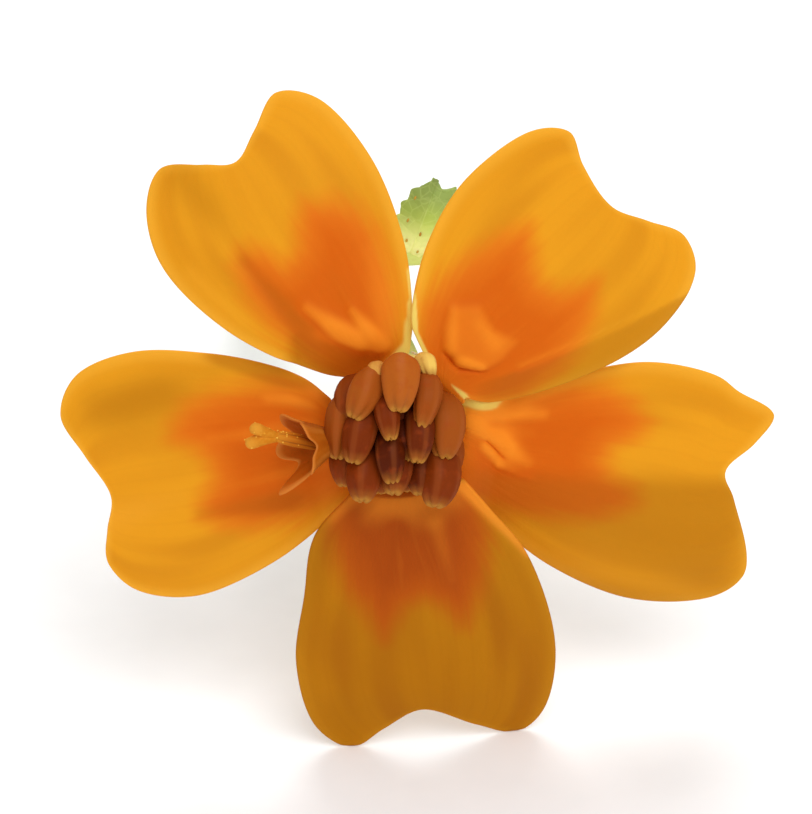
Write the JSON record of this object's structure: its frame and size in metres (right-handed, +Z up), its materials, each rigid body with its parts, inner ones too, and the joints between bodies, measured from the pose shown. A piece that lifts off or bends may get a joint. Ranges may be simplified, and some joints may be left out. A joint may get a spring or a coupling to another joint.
{
  "type": "signet marigold bloom",
  "caption": "Signet marigold bloom, picked with its flower stalk and a small upper leaf and laid on its side: broad notched ray petals round a cluster of small closed disc florets.",
  "frame": {"origin": "middle of the bounding box, on the surface that the bloom lies on", "axes": "+Z up, the face of the bloom looks along -Y and a little upwards, the flower stalk runs back along +Y"},
  "size_m": [0.0254, 0.0478, 0.0239],
  "materials": {
    "petal": "satin petal",
    "petal_shaded": "satin petal",
    "involucre": "smooth plant skin",
    "disc_bud": "matte bud",
    "open_floret": "satin petal",
    "stalk": "smooth plant skin",
    "leaf": "matte leaf"
  },
  "bodies": {
    "root": {"ray_floret_upper_left": "petal", "ray_floret_upper_right": "petal", "ray_floret_left": "petal", "ray_floret_right": "petal", "ray_floret_bottom": "petal_shaded", "involucre": "involucre", "disc_florets": "disc_bud", "open_disc_floret": "open_floret", "stalk": "stalk", "upper_leaf": "leaf"}
  },
  "joints": []
}
